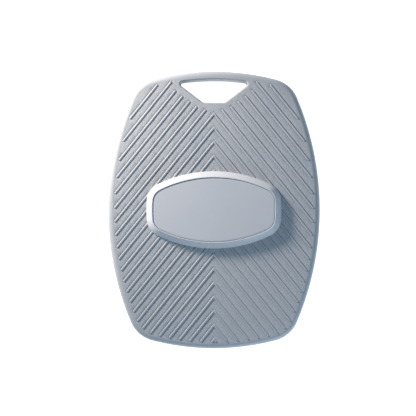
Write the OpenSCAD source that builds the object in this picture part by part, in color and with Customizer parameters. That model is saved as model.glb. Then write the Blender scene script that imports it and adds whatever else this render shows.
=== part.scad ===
// Garden kneeling pad: a ribbed soft cover over two foam layers and a non-slip base tray,
// with a hand slot at one end and a raised badge pegged through the cover.
// Millimetres. Origin: centre of the underside. +Y points at the hand slot, +Z up.

/* [Pad] */
// Overall length, towards the hand slot
pad_length = 400; // [340:1:500]
// Overall width
pad_width = 306; // [260:1:380]
// Height of the smooth top above the ground
pad_height = 28; // [23:0.5:45]
// Radius of the bowed long sides
side_radius = 415; // [340:5:700]
// Radius of the bowed ends
end_radius = 353; // [280:5:600]
// Radius of the four corners
corner_radius = 46; // [32:1:60]
// Radius of the soft shoulder round the top
shoulder_radius = 8; // [6:0.5:10]

/* [Cover] */
// Thickness of the moulded cover
skin_wall = 2.6; // [1.8:0.1:3.2]
// Spacing of the ribs, square to the ribs
rib_pitch = 12.75; // [9:0.05:18]
// Slope of the ribs below the cross direction, in degrees
rib_angle = 51; // [35:1:60]
// Width of a rib where it meets the cover
rib_width = 3; // [2:0.1:4.5]
// Height of a rib
rib_height = 1.1; // [0.6:0.1:2.4]
// Plain border between the outline and the rib ends
rib_border = 8.5; // [6:0.5:16]
// Plain border between the hand slot and the rib ends
rib_slot_border = 9; // [5:0.5:14]
// Distance of the lowest rib apex from the lower edge
lowest_apex = 14.2; // [12:0.1:24]

/* [Hand slot] */
// Width of the bar outside the slot
bar_width = 12.2; // [11.4:0.1:22]
// Height of the slot
slot_height = 33.3; // [26:0.1:40]
// Width of the slot across its rounded ends
slot_width = 96.4; // [84:0.1:120]
// Length of the flat lower edge
slot_flat = 25.2; // [16:0.1:40]
// Radius of the two ends of the slot
slot_end_radius = 3.8; // [3:0.1:6]
// Radius of the two lower corners of the slot
slot_low_radius = 9; // [7:0.5:10]
// Rounding of the slot's upper edge
slot_edge_radius = 2.4; // [1:0.1:2.6]

/* [Foam and base] */
// Thickness of the base tray's floor
base_thick = 3; // [2:0.1:5]
// Height of the tray's locating lip above its floor
lip_height = 4; // [2:0.1:5]
// Thickness of the locating lip
lip_wall = 1.4; // [1:0.1:1.8]
// Thickness of the firm lower foam
support_thick = 10.5; // [8:0.5:12]
// Thickness of each adhesive film
film_thick = 0.3; // [0.2:0.05:0.5]
// Width of a tread groove
tread_width = 2.4; // [1.5:0.1:4]
// Depth of a tread groove
tread_depth = 1; // [0.5:0.1:1.4]
// Length of a tread groove
tread_length = 26; // [12:1:32]

/* [Badge] */
// Width of the badge
badge_width = 194; // [150:1:210]
// Height of the badge, along the pad
badge_length = 111; // [90:1:130]
// Radius of its bowed ends
badge_side_radius = 220; // [150:5:400]
// Radius of its bowed long sides
badge_end_radius = 185; // [140:5:300]
// Radius of its corners
badge_corner_radius = 28; // [26:1:34]
// How far the badge stands above the cover
badge_height = 11; // [9.5:0.5:15]
// Width of the sloping rim
rim_width = 9.4; // [7:0.1:11]
// Height of the upright foot below the slope
rim_foot = 2; // [1:0.1:3]
// Flat on top of the rim
rim_crest = 1.3; // [0.8:0.1:2]
// Wall of the moulded bezel
bezel_wall = 2.2; // [1.8:0.1:2.6]
// Thickness of the inset plate
plate_thick = 1.6; // [1:0.1:2]
// How far the plate lies below the crest
plate_drop = 0.9; // [0.4:0.1:1.5]
// Groove between the plate and the rim
plate_gap = 0.8; // [0.4:0.1:1.2]
// Thickness of the backing ring
ring_thick = 1.6; // [1.2:0.1:2.5]
// Width of the backing ring
ring_width = 15; // [13:0.5:16]
// Diameter of the pegs that join ring and badge through the cover
peg_d = 4; // [3:0.1:5]
// Wall of the socket round a peg
socket_wall = 2; // [1.2:0.1:2.5]

/* [Hidden] */

grey = [0.66, 0.68, 0.70];
dark_grey = [0.33, 0.35, 0.37];
foam_light = [0.80, 0.82, 0.84];
foam_dark = [0.45, 0.48, 0.52];
film_clear = [0.90, 0.88, 0.78];
bezel_grey = [0.76, 0.77, 0.79];
plate_grey = [0.70, 0.72, 0.76];

fit = 0.2;              // clearance between pieces that slide together
side_steps = 12;        // segments along a bowed side
end_steps = 12;         // segments along a bowed end
corner_steps = 8;       // segments round a corner
round_steps = 5;        // rings over a shoulder
slot_steps = 8;         // segments round a slot corner
past = 1;               // how far a cutter runs past what it cuts
sink = 0.4;             // how far a joined shape runs into what carries it
rib_sink = 0.9;         // how far a rib's root runs into the cover
rib_crest_share = 0.45; // width of a rib's crest, as a share of its foot
round_sides = 32;       // sides of a peg and of its socket
tread_border = 26;      // from the pad's end to the first tread groove
tread_slot_border = 14; // from the hand slot to the first tread groove
tread_bow = 0.0012;     // how fast the tread shortens away from the middle
tread_turn = 25;        // turn of a tread groove, in degrees
web_count = 2;          // webs on each side of the middle one
tape_border = 2;        // from the plate's edge to its tape
peg_spread = 0.46;      // place of the outer pegs along the badge's long sides

half_l = pad_length / 2;
half_w = pad_width / 2;
skin_under = pad_height - skin_wall;                 // underside of the cover's top
foam_top = skin_under - film_thick;
support_top = base_thick + film_thick + support_thick;
foam_inset = skin_wall + fit;                        // foam edge inside the outline
film_inset = shoulder_radius + fit;
lip_inset = skin_wall + fit;
low_foam_inset = lip_inset + lip_wall + fit;
lip_top = base_thick + lip_height;
rib_pitch_y = rib_pitch / cos(rib_angle);
rib_count = ceil((pad_length + half_w * tan(rib_angle)) / rib_pitch_y);
tread_pitch_x = tread_length * 1.25;                 // a quarter of a groove lies between columns
tread_pitch_y = tread_width * 5.5;                   // the land is 4.5 grooves wide

bezel_top = pad_height + badge_height;
plate_top = bezel_top - plate_drop;
plate_under = plate_top - plate_thick;
floor_top = plate_under - film_thick;
floor_under = floor_top - bezel_wall;
plate_inset = rim_width + plate_gap;
ring_outer = 5.5;                                    // backing ring's edge inside the badge outline
ring_inner = ring_outer + ring_width;
ring_under = skin_under - ring_thick;
peg_inset = ring_outer + ring_width / 2;             // line of pegs inside the badge outline
peg_play = 0.05;                                     // room for glue round a peg in its socket
peg_top = floor_under - 2 * fit;
web = 1.6;                                           // thickness of the webs under the bezel
web_pitch = badge_width / 7;

// ---- Outlines ----------------------------------------------------------------------

// Points on an arc, leaving out the last one, so that arcs join without doubled points.
function arc(centre, r, from, to, steps) =
    [for (i = [0 : steps - 1])
        let (a = from + (to - from) * i / steps)
        centre + r * [cos(a), sin(a)]];

// Where two circles meet, on the side away from the origin.
function meet(c1, r1, c2, r2) =
    let (d = norm(c2 - c1),
         t = (r1 * r1 - r2 * r2 + d * d) / (2 * d),
         h = sqrt(max(0, r1 * r1 - t * t)),
         u = (c2 - c1) / d,
         n = [-u[1], u[0]],
         p = c1 + t * u + h * n,
         q = c1 + t * u - h * n)
    p[0] + p[1] > q[0] + q[1] ? p : q;

// A barrel outline: bowed sides, bowed ends and round corners, all tangent. A positive
// inset gives the curve that runs parallel inside it, with the same number of points.
function barrel(hw, hl, sr, er, cr, inset = 0) =
    let (side = [hw - sr, 0],
         end = [0, hl - er],
         corner = meet(side, sr - cr, end, er - cr),
         a = atan2(corner[1] - side[1], corner[0] - side[0]),
         b = atan2(corner[1] - end[1], corner[0] - end[0]))
    concat(
        arc(side, sr - inset, -a, a, side_steps),
        arc(corner, cr - inset, a, b, corner_steps),
        arc(end, er - inset, b, 180 - b, end_steps),
        arc([-corner[0], corner[1]], cr - inset, 180 - b, 180 - a, corner_steps),
        arc(-side, sr - inset, 180 - a, 180 + a, side_steps),
        arc(-corner, cr - inset, 180 + a, 180 + b, corner_steps),
        arc(-end, er - inset, 180 + b, 360 - b, end_steps),
        arc([corner[0], -corner[1]], cr - inset, 360 - b, 360 - a, corner_steps));

function pad_outline(inset = 0) =
    barrel(half_w, half_l, side_radius, end_radius, corner_radius, inset);

function badge_outline(inset = 0) =
    barrel(badge_width / 2, badge_length / 2, badge_side_radius, badge_end_radius,
           badge_corner_radius, inset);

// The hand slot: its upper edge runs parallel to the pad's end, its two ends are small
// circles and its lower corners larger ones. A positive grow gives a wider slot.
slot_arc = end_radius - bar_width;
slot_arc_centre = [0, half_l - end_radius];
slot_end = [slot_width / 2 - slot_end_radius,
            slot_arc_centre[1] + sqrt(pow(slot_arc - slot_end_radius, 2)
                                      - pow(slot_width / 2 - slot_end_radius, 2))];
slot_low = [slot_flat / 2, half_l - bar_width - slot_height + slot_low_radius];
slot_end_angle = atan2(slot_end[1] - slot_arc_centre[1], slot_end[0]);
slot_side = slot_low - slot_end;
slot_side_normal = atan2(slot_side[1], slot_side[0])
    + acos((slot_end_radius - slot_low_radius) / norm(slot_side));

function slot_outline(grow = 0) =
    concat(
        arc(slot_end, slot_end_radius + grow, slot_side_normal, slot_end_angle, slot_steps),
        arc(slot_arc_centre, slot_arc + grow, slot_end_angle, 180 - slot_end_angle, end_steps),
        arc([-slot_end[0], slot_end[1]], slot_end_radius + grow,
            180 - slot_end_angle, 180 - slot_side_normal, slot_steps),
        arc([-slot_low[0], slot_low[1]], slot_low_radius + grow,
            180 - slot_side_normal, 270, slot_steps),
        arc(slot_low, slot_low_radius + grow, 270, 360 + slot_side_normal, slot_steps));

// ---- Solids from outlines ----------------------------------------------------------

module prism(points, from, to) {
    translate([0, 0, from])
        linear_extrude(to - from)
            polygon(points);
}

// A closed solid through a stack of outlines that have the same number of points.
module stack(outlines, heights) {
    n = len(outlines[0]);
    m = len(outlines);
    points = [for (k = [0 : m - 1]) for (p = outlines[k]) [p[0], p[1], heights[k]]];
    bottom = [for (i = [0 : n - 1]) i];
    top = [for (i = [n - 1 : -1 : 0]) (m - 1) * n + i];
    walls = [for (k = [0 : m - 2]) for (i = [0 : n - 1])
        [k * n + i, (k + 1) * n + i, (k + 1) * n + (i + 1) % n, k * n + (i + 1) % n]];
    polyhedron(points, concat([bottom], walls, [top]));
}

// A pad-shaped block with its upper edge rounded over radius r.
module rounded_block(inset, from, to, r) {
    angles = [for (i = [0 : round_steps]) 90 * i / round_steps];
    stack(concat([pad_outline(inset)],
                 [for (a = angles) pad_outline(inset + r * (1 - cos(a)))]),
          concat([from], [for (a = angles) to - r + r * sin(a)]));
}

// The hole of the hand slot, flared over its upper edge.
module slot_cutter(grow, from, to, flare) {
    angles = [for (i = [0 : round_steps]) 90 * i / round_steps];
    stack(concat([slot_outline(grow)],
                 [for (a = angles) slot_outline(grow + flare * (1 - cos(a)))],
                 [slot_outline(grow + flare)]),
          concat([from], [for (a = angles) to - flare + flare * sin(a)], [to + past]));
}

// ---- Cover ---------------------------------------------------------------------------

// One straight rib that leaves the centre line at height y and runs down to the right.
module rib_arm(y) {
    run = half_w / cos(rib_angle);
    crest = rib_width * rib_crest_share;
    root = rib_width + (rib_width - crest) * rib_sink / rib_height;
    translate([0, y, pad_height])
        rotate([0, 0, -rib_angle])
            rotate([90, 0, 90])
                linear_extrude(run)
                    polygon([[-root / 2, -rib_sink], [root / 2, -rib_sink],
                             [crest / 2, rib_height], [-crest / 2, rib_height]]);
}

// Where ribs may stand: inside the border, clear of the slot and of the badge.
module rib_field() {
    difference() {
        prism(pad_outline(rib_border), pad_height - past, pad_height + rib_height + past);
        prism(slot_outline(rib_slot_border), pad_height - 2 * past,
              pad_height + rib_height + 2 * past);
        prism(badge_outline(-fit), pad_height - 2 * past, pad_height + rib_height + 2 * past);
    }
}

module rib_half() {
    intersection() {
        rib_field();
        translate([0, -half_l, pad_height - past])
            cube([half_w, pad_length, rib_height + 2 * past]);
        union()
            for (i = [0 : rib_count])
                rib_arm(-half_l + lowest_apex + i * rib_pitch_y);
    }
}

module peg_places() {
    x1 = badge_width / 2 - peg_inset;
    y1 = badge_length / 2 - peg_inset;
    bow = badge_end_radius - peg_inset;
    x2 = x1 * peg_spread;
    drop = bow - sqrt(bow * bow - x2 * x2);
    for (sx = [-1, 1]) {
        translate([sx * x1, 0, 0])
            children();
        for (sy = [-1, 1])
            translate([sx * x2, sy * (y1 - drop), 0])
                children();
    }
}

module top_skin() {
    color(grey)
        union() {
            difference() {
                rounded_block(0, base_thick, pad_height, shoulder_radius);
                difference() {
                    rounded_block(skin_wall, base_thick - past, skin_under,
                                  shoulder_radius - skin_wall);
                    slot_cutter(skin_wall, base_thick - 2 * past, skin_under, slot_edge_radius);
                }
                slot_cutter(0, base_thick - past, pad_height, slot_edge_radius);
                peg_places()
                    translate([0, 0, skin_under - past])
                        cylinder(d = peg_d + 2 * fit, h = skin_wall + 2 * past, $fn = round_sides);
            }
            rib_half();
            mirror([1, 0, 0])
                rib_half();
        }
}

// ---- Foam ----------------------------------------------------------------------------

module comfort_foam() {
    color(foam_light)
        difference() {
            rounded_block(foam_inset, support_top + film_thick, foam_top,
                          shoulder_radius - foam_inset);
            slot_cutter(skin_wall + fit, support_top - past, foam_top, slot_edge_radius);
            translate([0, 0, ring_under - fit])
                difference() {
                    linear_extrude(foam_top - ring_under + fit + past)
                        polygon(badge_outline(ring_outer - fit));
                    translate([0, 0, -past])
                        linear_extrude(foam_top - ring_under + fit + 3 * past)
                            polygon(badge_outline(ring_inner + fit));
                }
        }
}

module support_foam() {
    color(foam_dark)
        difference() {
            union() {
                prism(pad_outline(low_foam_inset), base_thick + film_thick, support_top);
                prism(pad_outline(foam_inset), lip_top + fit, support_top);
            }
            prism(slot_outline(skin_wall + fit), support_top - support_thick - past,
                  support_top + past);
            prism(slot_outline(low_foam_inset), 0, lip_top + fit);
        }
}

module film(inset, slot_grow, from) {
    color(film_clear)
        difference() {
            prism(pad_outline(inset), from, from + film_thick);
            prism(slot_outline(slot_grow), from - past, from + film_thick + past);
            children();
        }
}

module skin_bond_film() {
    film(film_inset, skin_wall + slot_edge_radius + fit, foam_top)
        prism(badge_outline(ring_outer - fit), foam_top - past, skin_under + past);
}

module foam_bond_film() {
    film(foam_inset + fit, skin_wall + 2 * fit, support_top);
}

module base_bond_film() {
    film(low_foam_inset, low_foam_inset, base_thick);
}

// ---- Base ----------------------------------------------------------------------------

module lip(outer, inner) {
    difference() {
        prism(outer, base_thick - sink, lip_top);
        prism(inner, base_thick - past, lip_top + past);
    }
}

module groove(x, y, turn) {
    translate([x, y, 0])
        rotate([0, 0, turn])
            translate([-tread_length / 2, -tread_width / 2, -past])
                cube([tread_length, tread_width, tread_depth + past]);
}

// Short grooves laid in chevrons over the underside, clear of its border and of the slot.
module tread() {
    columns = floor((half_w - shoulder_radius - tread_pitch_x / 2) / tread_pitch_x);
    for (c = [0 : columns - 1])
        let (x = tread_pitch_x * (c + 0.75),
             reach = half_l - tread_border - tread_bow * x * x,
             near_slot = x < slot_width / 2 + tread_length,
             above = near_slot ? reach - slot_height - tread_slot_border : reach,
             turn = c % 2 == 0 ? tread_turn : -tread_turn)
            for (r = [-floor(reach / tread_pitch_y) : floor(above / tread_pitch_y)])
                for (s = [-1, 1])
                    groove(s * x, r * tread_pitch_y, -s * turn);
}

module base_tray() {
    color(dark_grey)
        difference() {
            union() {
                prism(pad_outline(0), 0, base_thick);
                lip(pad_outline(lip_inset), pad_outline(lip_inset + lip_wall));
                lip(slot_outline(lip_inset + lip_wall), slot_outline(lip_inset));
            }
            prism(slot_outline(0), -past, base_thick + past);
            tread();
        }
}

// ---- Badge ---------------------------------------------------------------------------

module badge_block(inset, from, to) {
    prism(badge_outline(inset), from, to);
}

// The bezel's shell: a sloping rim round a sunken floor, open underneath.
module bezel_shell() {
    difference() {
        stack([badge_outline(0), badge_outline(0), badge_outline(rim_width - rim_crest)],
              [pad_height, pad_height + rim_foot, bezel_top]);
        stack([badge_outline(bezel_wall), badge_outline(bezel_wall),
               badge_outline(rim_width + bezel_wall)],
              [pad_height - past, pad_height + rim_foot - fit, floor_under]);
        badge_block(rim_width, floor_top, bezel_top + past);
    }
}

// Thin webs under the floor, so that a knee can't press it in.
module bezel_webs() {
    depth = floor_under - pad_height + sink;
    intersection() {
        stack([badge_outline(bezel_wall - sink), badge_outline(bezel_wall - sink),
               badge_outline(rim_width + bezel_wall - sink)],
              [pad_height, pad_height + rim_foot, floor_under + sink]);
        union() {
            for (i = [-web_count : web_count])
                translate([i * web_pitch - web / 2, -badge_length / 2, pad_height])
                    cube([web, badge_length, depth]);
            translate([-badge_width / 2, -web / 2, pad_height])
                cube([badge_width, web, depth]);
        }
    }
}

module badge_bezel() {
    color(bezel_grey)
        difference() {
            union() {
                bezel_shell();
                bezel_webs();
                peg_places()
                    translate([0, 0, pad_height])
                        cylinder(d = peg_d + 2 * socket_wall, h = floor_under - pad_height + sink,
                                 $fn = round_sides);
            }
            peg_places()
                translate([0, 0, pad_height - past])
                    cylinder(d = peg_d + 2 * peg_play, h = peg_top + fit - pad_height + past,
                             $fn = round_sides);
        }
}

module badge_plate() {
    color(plate_grey)
        badge_block(plate_inset, plate_under, plate_top);
}

module badge_plate_tape() {
    color(film_clear)
        badge_block(plate_inset + tape_border, floor_top, plate_under);
}

module badge_backing_ring() {
    color(dark_grey)
        union() {
            difference() {
                badge_block(ring_outer, ring_under, skin_under);
                badge_block(ring_inner, ring_under - past, skin_under + past);
            }
            peg_places()
                translate([0, 0, ring_under])
                    cylinder(d = peg_d, h = peg_top - ring_under, $fn = round_sides);
        }
}

// ---- Output --------------------------------------------------------------------------

top_skin();
comfort_foam();
support_foam();
base_tray();
skin_bond_film();
foam_bond_film();
base_bond_film();
badge_bezel();
badge_plate();
badge_plate_tape();
badge_backing_ring();
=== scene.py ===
# %% [markdown]
# # A garden kneeling pad
# The pad is a sandwich. A ribbed elastomer cover is drawn over a soft foam and a firm foam,
# and a rubber sole closes it underneath. A hard badge sits in the middle of the top.
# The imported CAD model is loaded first. It gives every piece its place and its size, so that
# nothing has to be fitted by eye: what is made here is the surface that a hand would feel.

# %% Load the frame
import math

import bmesh
import bpy
import numpy as np
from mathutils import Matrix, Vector
from mathutils.geometry import delaunay_2d_cdt


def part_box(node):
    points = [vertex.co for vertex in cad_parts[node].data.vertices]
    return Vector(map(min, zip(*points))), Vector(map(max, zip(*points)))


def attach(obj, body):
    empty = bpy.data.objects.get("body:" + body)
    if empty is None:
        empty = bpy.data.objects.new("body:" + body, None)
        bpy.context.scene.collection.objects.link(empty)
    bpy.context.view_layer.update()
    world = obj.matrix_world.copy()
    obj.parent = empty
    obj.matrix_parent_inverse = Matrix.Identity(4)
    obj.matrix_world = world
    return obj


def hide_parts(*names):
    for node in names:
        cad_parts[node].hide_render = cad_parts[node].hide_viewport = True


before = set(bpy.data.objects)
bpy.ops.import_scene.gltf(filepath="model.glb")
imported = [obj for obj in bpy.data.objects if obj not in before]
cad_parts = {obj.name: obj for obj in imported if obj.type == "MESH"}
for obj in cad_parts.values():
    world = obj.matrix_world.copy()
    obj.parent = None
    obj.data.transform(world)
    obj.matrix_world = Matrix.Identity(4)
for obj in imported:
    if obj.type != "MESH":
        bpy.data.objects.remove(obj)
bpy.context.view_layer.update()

MM = 0.001
print("pieces in the frame:", ", ".join(sorted(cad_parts)))


def span(node):
    """Lowest and highest corner of a CAD node, in millimetres."""
    low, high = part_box(node)
    return np.array(low) / MM, np.array(high) / MM


# %% [markdown]
# ## The camera
# The pad is shown flat, from straight above, as on a product page. A long lens keeps the
# sides from leaning in. The camera stands a little to the left of the pad's middle, which
# puts the pad a little to the right in the frame.

# %% Camera
FRAME_WIDTH = 597.5      # how much of the table the frame takes in, at the height of the cover
CAMERA_DISTANCE = 1600.0
CAMERA_OFFSET = (-8.5, 2.7)

pad_low, pad_high = span("base_tray")
cover_low, cover_high = span("top_skin")
camera_data = bpy.data.cameras.new("camera")
camera_data.sensor_width = 36.0
camera_data.lens = camera_data.sensor_width * CAMERA_DISTANCE / FRAME_WIDTH
camera = bpy.data.objects.new("camera", camera_data)
camera.location = Vector((*CAMERA_OFFSET, cover_high[2] + CAMERA_DISTANCE)) * MM
bpy.context.scene.collection.objects.link(camera)
bpy.context.scene.camera = camera
print("lens:", round(camera_data.lens, 1), "mm")

# %% [markdown]
# ## One outline drives everything
# Pad and badge share one kind of outline: bowed sides, bowed ends and round corners, each
# an arc that leaves the last one without a kink. Moving such an outline inwards only
# shortens its radii, so the same points can be joined row by row into walls and rounded
# edges. That is tidier than bevelling a flat shape, because every row keeps its number of
# points, and the flow lines of the mesh run along the edge, as they do on a moulding.

# %% Arcs, lines and outlines
def arc(centre, radius, start, stop, steps):
    """Points on an arc, angles in degrees, without the last one."""
    turn = np.radians(start + (stop - start) * np.arange(steps) / steps)
    return np.column_stack([centre[0] + radius * np.cos(turn), centre[1] + radius * np.sin(turn)])


def line(start, stop, steps):
    """Points on a line, without the last one."""
    share = np.arange(steps)[:, None] / steps
    return np.array(start) * (1 - share) + np.array(stop) * share


def meeting_point(a, a_radius, b, b_radius):
    """Where two circles meet, on the side away from the origin."""
    a, b = np.array(a, float), np.array(b, float)
    apart = np.linalg.norm(b - a)
    along = (a_radius ** 2 - b_radius ** 2 + apart ** 2) / (2 * apart)
    aside = math.sqrt(max(0.0, a_radius ** 2 - along ** 2))
    ahead = (b - a) / apart
    left = np.array([-ahead[1], ahead[0]])
    return max((a + along * ahead + s * aside * left for s in (1, -1)), key=lambda p: p.sum())


class Barrel:
    """An outline with bowed sides and ends, round the origin."""

    def __init__(self, width, length, side_radius, end_radius, corner_radius, steps):
        self.side_radius = side_radius
        self.end_radius = end_radius
        self.corner_radius = corner_radius
        self.steps = steps
        self.side = (width / 2 - side_radius, 0.0)
        self.end = (0.0, length / 2 - end_radius)
        self.corner = meeting_point(self.side, side_radius - corner_radius,
                                    self.end, end_radius - corner_radius)
        # the turns, in degrees, at which a side hands over to a corner, and a corner to an end
        self.side_stop = math.degrees(math.atan2(self.corner[1], self.corner[0] - self.side[0]))
        self.end_start = math.degrees(math.atan2(self.corner[1] - self.end[1], self.corner[0]))

    def at(self, inset):
        """The outline moved inwards, as points that run anticlockwise."""
        along_side, along_end, round_corner = self.steps
        a, b = self.side_stop, self.end_start
        (sx, _), (_, ey), (cx, cy) = self.side, self.end, self.corner
        side, end, corner = (r - inset for r in
                             (self.side_radius, self.end_radius, self.corner_radius))
        return np.vstack([
            arc((sx, 0), side, -a, a, along_side),
            arc((cx, cy), corner, a, b, round_corner),
            arc((0, ey), end, b, 180 - b, along_end),
            arc((-cx, cy), corner, 180 - b, 180 - a, round_corner),
            arc((-sx, 0), side, 180 - a, 180 + a, along_side),
            arc((-cx, -cy), corner, 180 + a, 180 + b, round_corner),
            arc((0, -ey), end, 180 + b, 360 - b, along_end),
            arc((cx, -cy), corner, 360 - b, 360 - a, round_corner)])


# %% [markdown]
# ## The hand slot
# The slot's outer edge runs parallel to the end of the pad, so that the bar that the hand
# closes on is equally thick all along. Two small circles end it, and two larger ones round
# its lower corners. Growing the slot lengthens all these radii at once.

# %% The pad, the badge and the slot
pad = Barrel(width=pad_high[0] - pad_low[0], length=pad_high[1] - pad_low[1],
             side_radius=415.0, end_radius=353.0, corner_radius=46.0, steps=(84, 64, 20))
badge_low, badge_high = span("badge_bezel")
badge = Barrel(width=badge_high[0] - badge_low[0], length=badge_high[1] - badge_low[1],
               side_radius=220.0, end_radius=185.0, corner_radius=28.0, steps=(40, 72, 20))

BAR_WIDTH = 12.2
SLOT_HEIGHT = 33.3
SLOT_WIDTH = 96.4
SLOT_FLAT = 25.2
SLOT_END_RADIUS = 3.8
SLOT_LOW_RADIUS = 9.0


def slot(grow):
    """The outline of the hand slot, widened all round, anticlockwise."""
    half_length = pad_high[1]
    centre = (0.0, half_length - pad.end_radius)
    outer = pad.end_radius - BAR_WIDTH
    x = SLOT_WIDTH / 2 - SLOT_END_RADIUS
    end = np.array([x, centre[1] + math.sqrt((outer - SLOT_END_RADIUS) ** 2 - x ** 2)])
    low = np.array([SLOT_FLAT / 2, half_length - BAR_WIDTH - SLOT_HEIGHT + SLOT_LOW_RADIUS])
    top = math.degrees(math.atan2(end[1] - centre[1], end[0]))
    side = low - end
    away = (math.degrees(math.atan2(side[1], side[0]))
            + math.degrees(math.acos((SLOT_END_RADIUS - SLOT_LOW_RADIUS) / np.linalg.norm(side))))
    out = np.array([math.cos(math.radians(away)), math.sin(math.radians(away))])
    mirror = np.array([-1, 1])
    small, large = SLOT_END_RADIUS + grow, SLOT_LOW_RADIUS + grow
    return np.vstack([
        arc(end, small, away, top, 10),
        arc(centre, outer + grow, top, 180 - top, 40),
        arc(end * mirror, small, 180 - top, 180 - away, 10),
        line((end + small * out) * mirror, (low + large * out) * mirror, 14),
        arc(low * mirror, large, 180 - away, 270, 8),
        line((-low[0], low[1] - large), (low[0], low[1] - large), 8),
        arc(low, large, 270, 360 + away, 8),
        line(low + large * out, end + small * out, 14)])


print("points round the pad:", len(pad.at(0)), "- badge:", len(badge.at(0)), "- slot:", len(slot(0)))

# %% [markdown]
# ## A small kit for building meshes
# Each piece is put together from three kinds of surface: walls, which join rows of equal
# length; sheets, which fill the flat area between loops with even triangles; and bars or
# grooves, which rise or sink from such a sheet. A shaper collects them in millimetres,
# welds the shared edges and turns the result into an object in metres.

# %% Inside or outside
def inside(points, loop):
    """Which points lie inside a closed loop."""
    x, y = points[:, 0, None], points[:, 1, None]
    x1, y1 = loop[:, 0], loop[:, 1]
    x2, y2 = np.roll(x1, -1), np.roll(y1, -1)
    crosses = (y1 > y) != (y2 > y)
    rise = np.where(y2 == y1, 1.0, y2 - y1)
    return (crosses & (x < (x2 - x1) * (y - y1) / rise + x1)).sum(axis=1) % 2 == 1


def distance_to_lines(points, lines):
    """How far each point is from the nearest of several line segments."""
    nearest = np.full(len(points), 1e9)
    for start, stop in lines:
        way = stop - start
        share = np.clip(((points - start) @ way) / (way @ way), 0, 1)
        nearest = np.minimum(nearest, np.linalg.norm(points - start - share[:, None] * way, axis=1))
    return nearest


# %% The shaper
ROW_SHARE = 0.87         # rows of even triangles lie this share of their spacing apart
EDGE_CLEARANCE = 0.45    # no grid point is nearer to an edge than this share of the spacing
CHUNK = 400              # edge points that are compared at once, to save memory
WELD = 2e-6              # points nearer than this, in metres, become one


class Shaper:
    """Collects surfaces in millimetres and makes one welded object of them."""

    def __init__(self):
        self.points, self.faces, self.finishes = [], [], []

    def add(self, points, faces, finish=0):
        """Adds points, and faces that count from the first of them."""
        first = sum(len(p) for p in self.points)
        self.points.append(np.asarray(points, float))
        self.faces += [tuple(first + i for i in f) for f in faces]
        self.finishes += [finish] * len(faces)

    def wall(self, rows, finish=0):
        """Joins closed rows of the same number of points."""
        n = len(rows[0])
        quads = [(k * n + i, k * n + (i + 1) % n, (k + 1) * n + (i + 1) % n, (k + 1) * n + i)
                 for k in range(len(rows) - 1) for i in range(n)]
        self.add(np.vstack(rows), quads, finish)

    def edge(self, outline, profile, finish=0):
        """Walls along an outline: profile is a list of (inset, height)."""
        self.wall([raised(outline(inset), height) for inset, height in profile], finish)

    def sheet(self, keep, loops, height, spacing, finish=0, clear=None):
        """Fills an area with triangles. keep tells which points belong to the area, loops are
        the edges that the triangles must follow, and clear tells where no grid point goes."""
        corners = np.vstack(loops)
        low, high = corners.min(axis=0), corners.max(axis=0)
        rows = np.arange(low[1], high[1], spacing * ROW_SHARE)
        grid = np.array([(x + (k % 2) * spacing / 2, y) for k, y in enumerate(rows)
                         for x in np.arange(low[0], high[0], spacing)])
        grid = grid[keep(grid)]
        if clear is not None:
            grid = grid[clear(grid)]
        gaps = [(a, b) for loop in loops for a, b in zip(loop, np.roll(loop, -1, axis=0))]
        near = np.vstack([(a + b) / 2 for a, b in gaps])
        for part in np.array_split(near, max(1, len(near) // CHUNK)):
            apart = np.linalg.norm(grid[:, None] - part[None], axis=2).min(axis=1)
            grid = grid[apart > spacing * EDGE_CLEARANCE]
        points = np.vstack([corners, grid])
        first, edges = 0, []
        for loop in loops:
            n = len(loop)
            edges += [(first + i, first + (i + 1) % n) for i in range(n)]
            first += n
        out, _, faces, _, _, _ = delaunay_2d_cdt([Vector(p) for p in points], edges, [], 0, 1e-7)
        out = np.array([tuple(p) for p in out])
        middles = np.array([out[list(f)].mean(axis=0) for f in faces])
        faces = [f for f, kept in zip(faces, keep(middles)) if kept]
        self.add(raised(out, height), faces, finish)

    def make(self, name, finishes, shape=None):
        """Welds everything, bends it by the shape function and reports open edges."""
        points = np.vstack(self.points)
        if shape is not None:
            points = shape(points)
        data = bpy.data.meshes.new(name)
        data.from_pydata((points * MM).tolist(), [], self.faces)
        data.polygons.foreach_set("material_index", self.finishes)
        made = bmesh.new()
        made.from_mesh(data)
        bmesh.ops.remove_doubles(made, verts=made.verts, dist=WELD)
        loose = [v for v in made.verts if not v.link_faces]
        bmesh.ops.delete(made, geom=loose, context="VERTS")
        bmesh.ops.recalc_face_normals(made, faces=made.faces)
        open_edges = sum(len(e.link_faces) != 2 for e in made.edges)
        made.to_mesh(data)
        made.free()
        data.polygons.foreach_set("use_smooth", [True] * len(data.polygons))
        for finish in finishes:
            data.materials.append(finish)
        piece = bpy.data.objects.new(name, data)
        bpy.context.scene.collection.objects.link(piece)
        print(f"{name}: {len(data.vertices)} points, {len(data.polygons)} faces,",
              f"{open_edges} open edges")
        return piece


def raised(points, height):
    """Flat points at a height, in millimetres."""
    return np.column_stack([points[:, :2], np.full(len(points), float(height))])


def rounding(inset, height, radius, start, stop, steps=8):
    """Part of a quarter circle as (inset, height): 0 degrees is the wall and 90 the top."""
    turn = np.radians(np.linspace(start, stop, steps + 1))
    return [(inset - radius * math.cos(t), height + radius * math.sin(t)) for t in turn]

# %% [markdown]
# ## Ribs
# The ribs are chevrons. A rib is a V that points at the hand slot, or half of one where the
# badge or the slot's border cuts it. Each is laid out from its centre line: the line is
# walked in small steps, and what lies in the field between border, slot and badge is kept.
# Loops at growing distances from that line then make a rounded bar with rounded ends,
# whose foot is cut into the sheet below it. Bar and cover are one skin, as moulded. A fine
# hollow runs round each foot, and a low light draws it as a thin dark line.

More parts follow.
